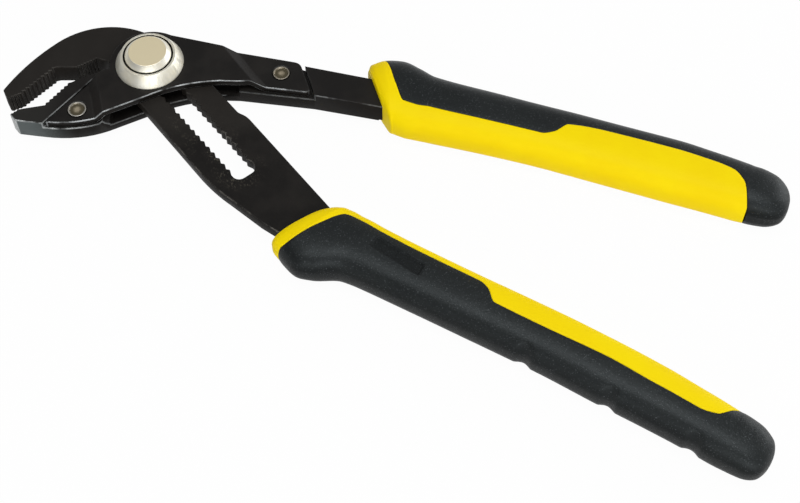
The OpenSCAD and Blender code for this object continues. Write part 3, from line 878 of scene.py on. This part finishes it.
@dataclass(frozen=True)
class Pad:
    """Plain sunk pad on the upper face of a grip."""

    along: float
    across: float
    half_length: float
    half_width: float
    slope: float
    depth: float = 0.35
    corner: float = 1.2
    wall: float = 0.6

    def drop(self, along: Array, across: Array, top: Array) -> Array:
        """Depth of the pad: a sloping rounded rectangle with eased walls, on the upper face only.

        Its wall is a smooth step of the distance from the outline of the rounded rectangle.

        Args:
            along: places along the grip.
            across: places across it.
            top: 1 on the upper face and 0 on the lower.

        Returns:
            The depths.
        """
        x = along - self.along
        u = np.abs(x) - self.half_length + self.corner
        v = np.abs(across - self.across - self.slope * x) - self.half_width + self.corner
        off = np.hypot(np.maximum(u, 0), np.maximum(v, 0)) + np.minimum(np.maximum(u, v), 0) - self.corner
        t = np.clip(-off / self.wall, 0, 1)
        return self.depth * t * t * (3 - 2 * t) * top


# Rings along a grip, how much closer they stand where the edge of the black turns, and the number of
# places at which that turn is measured
STATIONS, CROWDING, MEASURED = 330, 9.0, 4000
# Distance to the edge of the black that stands for none near
FAR = 9.0
# Points of the black round a section, as shares of the angle to its edge: at the edge, between the
# edges, and more of them on a sunk pad
RIM = np.array([0.976, 0.986, 0.993, 0.998, 1.0])
BETWEEN, ON_PAD = np.linspace(-0.96, 0.96, 47), np.linspace(0.64, 0.94, 38)
# Points of the core round a section: under the black, as shares of the angle to its edge, and on the
# open side, as shares of the way from edge to edge, closer together near the edges
UNDER = np.linspace(-1, 1, 25)
NEAR = np.array([0.0, 0.004, 0.01, 0.02, 0.035])
OPEN_SIDE = np.concatenate([NEAR, np.linspace(0.06, 0.94, 39), 1 - NEAR[::-1]])
# Rings of the bare collar and of the round end
COLLAR_RINGS, END_RINGS = 22, 40
# Places of the rings next to the start of the black, from its edge
LIP = np.array([0.0, 0.04, 0.1, 0.18, 0.28])


@dataclass
class Grip:
    """One handle grip: a yellow core and a black over-moulding that closes to a solid end.

    A row gives a section: share of the length, offset, half width, share of the half thickness, lean in
    degrees, and edge of the black as a share of the half width. A section is a superellipse, and square
    is its exponent. The black is skin deep, with skin_gap between it and the core. At the end of the grip
    its edge is at the closed share and the closed angle in degrees. The collar face stands face_lead in
    front of the first section and face_inset inside its outline.
    """

    label: str
    body: Body
    origin: tuple[float, float]
    heading: float
    side: int
    length: float
    tang: tuple[float, float, float, float, float]
    rows: tuple
    butt: tuple
    scallops: tuple = ()
    pad: Optional[Pad] = None
    bare_rows: int = 2
    groove: float = 0.28
    half_t: float = 7.75
    square: float = 2.6
    middle_z: float = 3.9
    skin: float = 1.75
    skin_gap: float = 0.05
    closed_share: float = -0.99
    closed_angle: float = 172.0
    face_lead: float = 0.3
    face_inset: float = 0.45
    table: Array = field(init=False)

    def __post_init__(self) -> None:
        """Joins the rows to the butt and the tip, where the black runs out to the inner side."""
        rows = np.array(self.rows, float)
        butt = np.array(self.butt, float)
        butt = np.column_stack([butt, np.full(len(butt), self.closed_share)])
        tip = np.array([[1.0, butt[-1, 1], 0.0, 0.0, 0.0, self.closed_share]])
        self.table = np.vstack([rows, butt, tip])

    def column(self, k: int, s: Array) -> Array:
        """A column of the rows between them; widths are carried as squares, which rounds the tip.

        Args:
            k: number of the column.
            s: shares of the length.

        Returns:
            The values there.
        """
        x, y = self.table[:, 0], self.table[:, k]
        if k in (2, 3):
            return np.sqrt(np.maximum(smooth_through(x, y * y, s), 0))
        return smooth_through(x, y, s)

    def edge(self, s: Array) -> Array:
        """Angle round the section at which the black ends, from the outer side, in radians."""
        e = self.column(5, s)
        return np.arccos(np.sign(e) * np.abs(e) ** (self.square / 2))

    def local(self, s: Array, g: Array, depth: Array) -> tuple[Array, Array, Array]:
        """Point in the grip's frame: along, across and up.

        The section at share s is |x/a|^n + |z/b|^n = 1, both half axes less the depth. Its x leans from
        the across direction towards the along direction.

        Args:
            s: shares of the length.
            g: angles round the section in radians, 0 being the outer side.
            depth: depths under the surface.

        Returns:
            The three coordinates.
        """
        a = np.maximum(self.column(2, s) - depth, 0)
        b = np.maximum(self.half_t * self.column(3, s) - depth, 0)
        lean = np.radians(self.column(4, s))
        c, d = np.cos(g), np.sin(g)
        power = 2 / self.square
        x = a * np.sign(c) * np.abs(c) ** power
        z = b * np.sign(d) * np.abs(d) ** power
        return s * self.length - x * np.sin(lean), self.column(1, s) + x * np.cos(lean), z

    def put(self, along: Array, across: Array, up: Array) -> Array:
        """Carries points of the grip's frame into the frame of the pliers, by a turn about Z and a shift.

        Args:
            along: places along the grip.
            across: places across it, the outer side being positive.
            up: heights from its middle.

        Returns:
            The points.
        """
        h = math.radians(self.heading)
        y = self.side * across
        return np.stack([
            self.origin[0] + along * math.cos(h) + y * math.sin(h),
            self.origin[1] - along * math.sin(h) + y * math.cos(h),
            self.middle_z + up + 0 * along], axis=-1)

    def stations(self, first: float, last: float) -> Array:
        """Places of rings, closer together where the edge of the black turns across the grip.

        They are evenly spread over the length of the curve that the edge's angle, scaled up, makes.

        Args:
            first: share of the length at the first ring.
            last: share at the last.

        Returns:
            Their shares of the length.
        """
        s = np.linspace(first, last, MEASURED)
        bend = np.abs(np.gradient(self.edge(s), s * self.length)) * CROWDING
        weight = np.concatenate([[0], np.cumsum(np.hypot(1, bend)[1:] * np.diff(s))])
        return np.interp(np.linspace(0, weight[-1], STATIONS), weight, s)

    def rim_distance(self, s: Array, g: Array) -> Array:
        """Distance from the edge of the black, along the surface, to first order.

        The angle to the edge times the mean half axis, less where the edge runs across the grip.

        Args:
            s: shares of the length, one a row.
            g: angles round the section in radians.

        Returns:
            The distances in millimetres.
        """
        edge = self.edge(s)
        slope = np.gradient(edge[:, 0], s[:, 0] * self.length)[:, None]
        reach = 0.5 * (self.column(2, s) + self.half_t * self.column(3, s))
        return np.abs(edge - np.abs(g)) * reach / np.hypot(1, slope * reach)

    def cover_mesh(self) -> Object:
        """Black over-moulding: rings that run out along the surface and back underneath.

        Past the end of the yellow core the way back is a straight chord, so that the end is solid.

        Returns:
            The piece.
        """
        middle = BETWEEN
        if self.pad is not None:
            middle = np.unique(np.concatenate([BETWEEN, ON_PAD]).round(3))
        u = np.concatenate([-RIM[::-1], middle, RIM])
        start, stop = self.rows[self.bare_rows][0], self.rows[-1][0]
        lip = start + np.append(LIP, 0.4) / self.length
        body = self.stations(lip[-1] + 0.1 / self.length, stop)
        round_end = 1 - (1 - self.butt[0][0]) * (1 - np.sin(np.linspace(0, math.pi / 2, END_RINGS))[:-1])
        s = np.concatenate([lip, body, round_end])[:, None]
        g = u[None, :] * np.where(s < self.butt[0][0], self.edge(s), math.radians(self.closed_angle))
        distance = np.where(s <= stop, self.rim_distance(s, g), FAR)
        distance = np.minimum(distance, (s - start) * self.length)
        depth = rim_drop(distance, self.groove)
        along, across, up = self.local(s, g, 0 * g)
        for scallop in self.scallops:
            depth = depth + scallop.drop(along, g)
        if self.pad is not None:
            depth = depth + self.pad.drop(along, across, (up > 0).astype(float))
        outer = self.put(*self.local(s, g, depth))
        under = self.put(*self.local(s, g, np.full_like(g, self.skin)))[:, ::-1]
        share = ((np.arange(len(u)) + 1) / (len(u) + 1))[None, :, None]
        chord = outer[:, -1:] + (outer[:, :1] - outer[:, -1:]) * share
        inner = np.where((s <= stop)[..., None], under, chord)
        rings = np.concatenate([outer, inner], axis=1)
        rows, n = rings.shape[:2]
        k = np.arange(len(u) - 1)
        front = np.stack([k, k + 1, n - 2 - k, n - 1 - k], axis=-1)
        tip = self.put(*self.local(np.array([1.0]), np.array([0.0]), np.array([0.0])))
        points = np.vstack([rings.reshape(-1, 3), tip])
        return solid(self.label + "_grip_cover", points, [
            ring_quads(rows, n), front, fan(rows * n, (rows - 1) * n, n)])

    def core_mesh(self) -> Object:
        """Yellow core: rings lowered under the black, from a collar face with a channel for the tang.

        Returns:
            The piece.
        """
        start, stop = self.rows[self.bare_rows][0], self.rows[-1][0]
        collar = np.linspace(self.rows[0][0], start - 0.35 / self.length, COLLAR_RINGS)
        lip = start - LIP[::-1] / self.length
        body = self.stations(start + 0.001 / self.length, stop)
        s = np.concatenate([collar, lip, body])[:, None]
        edge = self.edge(s)
        skin = UNDER[None, :] * edge
        open_side = edge + (2 * math.pi - 2 * edge) * OPEN_SIDE[None, :]
        fold = np.where(open_side > math.pi, 2 * math.pi - open_side, open_side)
        bare = s <= start
        sunk = self.skin + self.skin_gap
        skin_depth = np.where(bare, rim_drop((start - s) * self.length, self.groove), sunk)
        open_depth = np.where(bare, 0.0, rim_drop(self.rim_distance(s, fold), self.groove))
        g = np.concatenate([skin, open_side], axis=1)
        depth = np.concatenate([skin_depth + 0 * skin, open_depth], axis=1)
        rings = self.put(*self.local(s, g, depth))
        inset = np.full_like(g[:1], self.face_inset)
        face = self.put(*self.local(s[:1] - self.face_lead / self.length, g[:1], inset))
        mouth, deep = self.channel(g.shape[1], skin.shape[1])
        return tube(self.label + "_grip_core", np.concatenate([deep, mouth, face, rings]))

    def channel(self, n: int, skin_n: int) -> tuple[Array, Array]:
        """Two rings on the rectangle of the tang: at the collar face and at its end.

        Args:
            n: points a ring.
            skin_n: points of a section that lie under the black.

        Returns:
            The ring at the face and the ring at the end.
        """
        reach, y0, y1, z0, z1 = self.tang
        q = ((np.arange(n) - skin_n / 2) / n * 8 + 16) % 8
        z = (z0 + z1) / 2
        corners = np.array([[y1, z], [y1, z1], [y0, z1], [y0, z0], [y1, z0], [y1, z]])
        at = np.array([0.0, 1, 3, 5, 7, 8])
        across, up = np.interp(q, at, corners[:, 0]), np.interp(q, at, corners[:, 1])
        row = self.rows[0]
        lean = math.radians(row[4])
        x = (across - row[1]) / math.cos(lean)
        mouth = self.put(row[0] * self.length - self.face_lead - x * math.sin(lean), across, up)
        deep = self.put(np.full(n, reach * self.length), across, up)
        return mouth[None], deep[None]

    def pad_frame(self) -> Point:
        """Middle of the pad and its turn about Z, in the frame of the pliers."""
        x, y, _ = self.put(np.array(self.pad.along), np.array(self.pad.across), np.array(0.0))
        return float(x), float(y), -math.radians(self.heading) + self.side * math.atan(self.pad.slope)

    def build(self, yellow: Material, black: Material) -> list[Object]:
        """Builds and dresses both pieces.

        Args:
            yellow: finish of the core.
            black: finish of the over-moulding.

        Returns:
            The two pieces.
        """
        grip = self.label + "_grip"
        return [
            place(self.core_mesh(), self.body, Slot.YELLOW_PLASTIC, yellow, grip + "_core"),
            place(self.cover_mesh(), self.body, Slot.BLACK_RUBBER, black, grip + "_cover")]


def upper_grip() -> Grip:
    """Gives the grip of the upper lever its rows.

    Returns:
        The grip.
    """
    return Grip(
        label="upper", body=Body.UPPER, origin=(74.2, -8.1), heading=18.87, side=1, length=138.6,
        tang=(0.7236, -4.65, 2.45, -2.05, 2.05),
        rows=(
            (0.0107, -1.45, 10.0, 0.84, 36, 0.9), (0.0196, -1.35, 12.4, 0.93, 34, 0.9),
            (0.036, 0.0, 13.1, 1.0, 26, 0.9), (0.051, 0.5, 13.4, 1.0, 21, 0.1),
            (0.072, 0.75, 13.6, 1.0, 17, -0.42), (0.109, 0.25, 12.55, 1.0, 13.5, -0.43),
            (0.144, -0.35, 11.35, 1.0, 10, -0.37), (0.29, 0.45, 10.45, 1.0, 2, -0.38),
            (0.415, 1.0, 10.1, 1.0, 0, -0.38), (0.444, 1.1, 10.1, 1.0, 0, -0.21),
            (0.469, 1.15, 10.15, 1.0, 0, 0.19), (0.577, 1.2, 10.2, 1.0, 0, 0.34),
            (0.721, 1.3, 10.3, 1.0, 0, 0.36), (0.808, 1.0, 9.8, 1.0, 0, 0.34),
            (0.855, 0.75, 9.55, 0.99, 0, 0.27), (0.887, 0.5, 9.35, 0.98, 0, -0.06),
            (0.909, 0.4, 9.1, 0.97, 0, -0.9)),
        butt=(
            (0.912, 0.4, 9.1, 0.97, 0), (0.952, 0.1, 8.4, 0.9, 0),
            (0.983, -0.5, 6.2, 0.68, 0), (0.998, -0.9, 2.6, 0.36, 0)))


def lower_grip() -> Grip:
    """Gives the grip of the lower lever its rows, three finger grooves and a pad.

    Returns:
        The grip.
    """
    return Grip(
        label="lower", body=Body.LOWER, origin=(49.7, -60.7), heading=29.1, side=-1, length=160.0,
        tang=(0.7031, -6.55, 3.05, -0.75, 3.35),
        rows=(
            (0.0155, -0.6, 11.0, 0.8, 28, 0.9), (0.026, -0.65, 12.45, 0.9, 26, 0.9),
            (0.0386, -0.5, 13.1, 0.97, 23, 0.9), (0.0476, -0.1, 13.45, 1.0, 19, 0.07),
            (0.072, 0.6, 13.95, 1.0, 13, -0.69), (0.094, 0.18, 13.12, 1.0, 10, -0.73),
            (0.141, -1.85, 10.5, 1.0, 5, -0.66), (0.168, -1.95, 10.05, 1.0, 2, -0.64),
            (0.25, -1.9, 9.7, 1.0, 0, -0.607), (0.382, -1.93, 9.5, 1.0, 0, -0.59),
            (0.403, -1.95, 9.5, 1.0, 0, -0.45), (0.429, -2.0, 9.5, 1.0, 0, -0.06),
            (0.54, -2.08, 9.48, 1.0, 0, -0.03), (0.665, -1.5, 9.6, 1.0, 0, -0.1),
            (0.763, -0.9, 9.3, 1.0, 0, -0.04), (0.845, 0.05, 8.8, 1.0, 0, -0.04),
            (0.88, 0.55, 8.7, 0.99, 0, -0.2), (0.903, 0.95, 8.6, 0.98, 0, -0.7),
            (0.917, 1.12, 8.52, 0.97, 0, -0.95)),
        butt=(
            (0.92, 1.12, 8.52, 0.97, 0), (0.955, 1.5, 8.2, 0.9, 0),
            (0.986, 2.0, 6.3, 0.68, 0), (0.998, 2.0, 2.8, 0.36, 0)),
        scallops=(Scallop(83.2), Scallop(111.2), Scallop(138.2)),
        pad=Pad(along=35.3, across=-2.75, half_length=9.4, half_width=2.4, slope=0.12))


@dataclass(frozen=True)
class Levers:
    """The two forged levers and the cover plate."""

    round: float = 0.32

    def build(self) -> list[Object]:
        """Builds and dresses the three pieces.

        Returns:
            The pieces.
        """
        plain = BlackenedSteel(
            holes=((*Rivets.front, Rivets.front_r), (*Rivets.rear, Rivets.rear_r))).build()
        nosed = BlackenedSteel(
            name="blackened_steel_jaw", bare=(0.48, 0.50, 0.50), ground_nose=True).build()
        rubbed = BlackenedSteel(
            name="blackened_steel_slot", bare=(0.16, 0.15, 0.135), wear_and_sheen=0.55, gloss=0.2,
            scuffed=True).build()
        made = []
        for node, body, finish in (
                ("upper_lever", Body.UPPER, nosed), ("cover_plate", Body.UPPER, plain),
                ("lower_lever", Body.LOWER, rubbed)):
            obj = eased_copy(node, self.round)
            made.append(place(obj, body, Slot.BLACK_STEEL, finish, node))
        return made


@dataclass(frozen=True)
class Rivets:
    """The two rivets that hold the cover plate."""

    front: tuple[float, float] = (-22.5, -17.5)
    front_r: float = 3.05
    rear: tuple[float, float] = (43.4, -2.6)
    rear_r: float = 2.8
    front_tint: Colour = (0.56, 0.54, 0.49)
    rear_tint: Colour = (0.42, 0.38, 0.31)
    round: float = 0.1

    def build(self) -> list[Object]:
        """Builds and dresses both rivets.

        Returns:
            The pieces.
        """
        made = []
        for node, centre, head_r, pale in (
                ("front_rivet", self.front, self.front_r, self.front_tint),
                ("rear_rivet", self.rear, self.rear_r, self.rear_tint)):
            finish = PeenedSteel(node + "_steel", centre, head_r, pale).build()
            obj = eased_copy(node, self.round)
            made.append(place(obj, Body.UPPER, Slot.NICKEL, finish, node))
        return made


@dataclass(frozen=True)
class Lock:
    """The push-button lock: collar, button, key, ring and spring."""

    spring_z: tuple[float, float] = (10.97, 14.53)
    spring_r: tuple[float, float] = (6.4, 4.55)
    wire_r: float = 0.35
    turns: int = 3
    steps: int = 48
    sides: int = 12
    press: float = 2.5

    def spring_mesh(self) -> Object:
        """Conical spring: a round wire carried along a helix that narrows as it climbs.

        Returns:
            The piece.
        """
        t = np.linspace(0, 1, self.steps * self.turns + 1)[:, None]
        b = np.linspace(0, 2 * math.pi, self.sides, endpoint=False)[None, :]
        turn = 2 * math.pi * self.turns * t
        radius = self.spring_r[0] + (self.spring_r[1] - self.spring_r[0]) * t + self.wire_r * np.cos(b)
        up = self.spring_z[0] + (self.spring_z[1] - self.spring_z[0]) * t + self.wire_r * np.sin(b)
        rings = np.stack([radius * np.cos(turn), radius * np.sin(turn), up], axis=-1)
        return tube("return_spring_wire", rings)

    def build(self) -> list[Object]:
        """Builds and dresses the five pieces.

        Returns:
            The pieces.
        """
        nickel = SatinNickel().build()
        wire = DrawnWire().build()
        dark = BlackenedSteel(name="blackened_steel_lock", wear_and_sheen=0.3).build()
        made = []
        for node, width, body, slot, finish in (
                ("pivot_collar", 0.12, Body.PIVOT, Slot.NICKEL, nickel),
                ("push_button", 0.12, Body.BUTTON, Slot.NICKEL, nickel),
                ("lock_key", 0.1, Body.BUTTON, Slot.BLACK_STEEL, dark),
                ("retaining_ring", 0.08, Body.BUTTON, Slot.BLACK_STEEL, wire)):
            made.append(place(eased_copy(node, width), body, slot, finish, node))
        made.append(place(self.spring_mesh(), Body.PIVOT, Slot.SPRING_STEEL, wire, "return_spring"))
        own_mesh(made[-1])
        return made


@dataclass(frozen=True)
class Lamp:
    """A soft box: where it stands, what it looks at, its size and its power."""

    name: str
    place: Point
    size: tuple[float, float]
    power: float
    target: Point = (0.08, -0.06, 0.0)

    def build(self) -> Object:
        """Adds the lamp.

        Returns:
            Its object.
        """
        data = bpy.data.lights.new(self.name, "AREA")
        data.shape, data.size, data.size_y = "RECTANGLE", *self.size
        data.energy = self.power
        lamp = added(self.name, data)
        lamp.location = self.place
        aim = Vector(self.target) - Vector(self.place)
        lamp.rotation_euler = aim.to_track_quat("-Z", "Y").to_euler()
        return lamp


@dataclass(frozen=True)
class Stage:
    """White studio with the photograph's camera."""

    floor_z: float = -3.86
    floor_half: float = 4.0
    floor_tint: Colour = (0.86, 0.86, 0.86)
    white: float = 0.97
    camera_place: Point = (0.0827, -0.3122, 0.400)
    camera_tilt: float = 31.5
    lens: float = 67.5
    sensor: float = 36.0
    lamps: tuple[Lamp, ...] = (
        Lamp("top_box", (0.06, -0.16, 0.95), (0.75, 0.40), 3.9),
        Lamp("front_box", (0.08, -1.0, 0.36), (0.9, 0.6), 3.1),
        Lamp("right_box", (0.75, 0.30, 0.20), (0.5, 0.35), 1.5))

    def build(self) -> None:
        """Adds floor, sky, lamps and camera."""
        self.build_floor()
        self.build_sky()
        for lamp in self.lamps:
            lamp.build()
        self.build_camera()
        bpy.context.scene.view_settings.view_transform = "Standard"

    def build_floor(self) -> None:
        """Pale floor that reads white to the camera and in reflections, and keeps a soft shadow."""
        mesh = bpy.data.meshes.new("floor")
        corner = np.array([[-1, -1, 0], [1, -1, 0], [1, 1, 0], [-1, 1, 0]], float) * self.floor_half
        corner[:, 2] = self.floor_z * MM
        mesh.from_pydata(corner.tolist(), [], [[0, 1, 2, 3]])
        floor = added("floor", mesh)
        material = bpy.data.materials.new("floor_white")
        material.use_nodes = True
        g = Graph(material.node_tree)
        g.tree.nodes.clear()
        path = g.add("ShaderNodeLightPath").outputs
        seen = g.sums("ADD", path["Is Camera Ray"], g.sums(
            "ADD", path["Is Glossy Ray"], path["Is Transmission Ray"]))
        paper = g.add("ShaderNodeBsdfDiffuse", {"Color": self.floor_tint}).outputs[0]
        glow = g.add("ShaderNodeEmission", {"Color": (1.0, 1.0, 1.0), "Strength": 1.0}).outputs[0]
        share = g.times(g.sums("MINIMUM", seen, 1.0), self.white)
        both = g.add("ShaderNodeMixShader", {0: share, 1: paper, 2: glow}).outputs[0]
        g.add("ShaderNodeOutputMaterial", {"Surface": both})
        mesh.materials.append(material)

    def build_sky(self) -> None:
        """Soft room light: bright low down and on the right, dimmer overhead, on the left and behind."""
        world = bpy.data.worlds.new("studio")
        bpy.context.scene.world = world
        world.use_nodes = True
        g = Graph(world.node_tree)
        right, behind, up = g.parts(g.add("ShaderNodeTexCoord").outputs["Generated"])
        level = g.times(g.span(up, 0.0, 0.8, 0.85, 0.45), g.span(right, -0.9, 0.2, 0.3, 1.0))
        level = g.times(level, g.span(behind, 0.2, 0.9, 1.0, 0.7))
        back = g.tree.nodes["Background"]
        back.inputs["Color"].default_value = (1.0, 1.0, 1.0, 1.0)
        g.tree.links.new(level, back.inputs["Strength"])

    def build_camera(self) -> None:
        """Camera at the photograph's viewing angle."""
        data = bpy.data.cameras.new("camera")
        data.lens, data.sensor_width, data.sensor_fit = self.lens, self.sensor, "HORIZONTAL"
        data.clip_start = 0.01
        camera = added("camera", data)
        camera.location = self.camera_place
        camera.rotation_euler = (math.radians(self.camera_tilt), 0.0, 0.0)
        bpy.context.scene.camera = camera


def main() -> None:
    """Builds each sub-assembly in order, then the stage."""
    logging.basicConfig(level=logging.INFO, format="%(message)s")
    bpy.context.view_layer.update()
    yellow, black = YellowPlastic().build(), BlackRubber().build()
    upper, lower = upper_grip(), lower_grip()
    padded = BlackRubber(
        "black_rubber_pad", lower.pad_frame(), (lower.pad.half_length, lower.pad.half_width)).build()
    made = [
        *Levers().build(), *Rivets().build(), *Lock().build(),
        *upper.build(yellow, black), *lower.build(yellow, padded)]
    LOG.info("%d pieces", len(made))
    Stage().build()


if __name__ == "__main__":
    main()
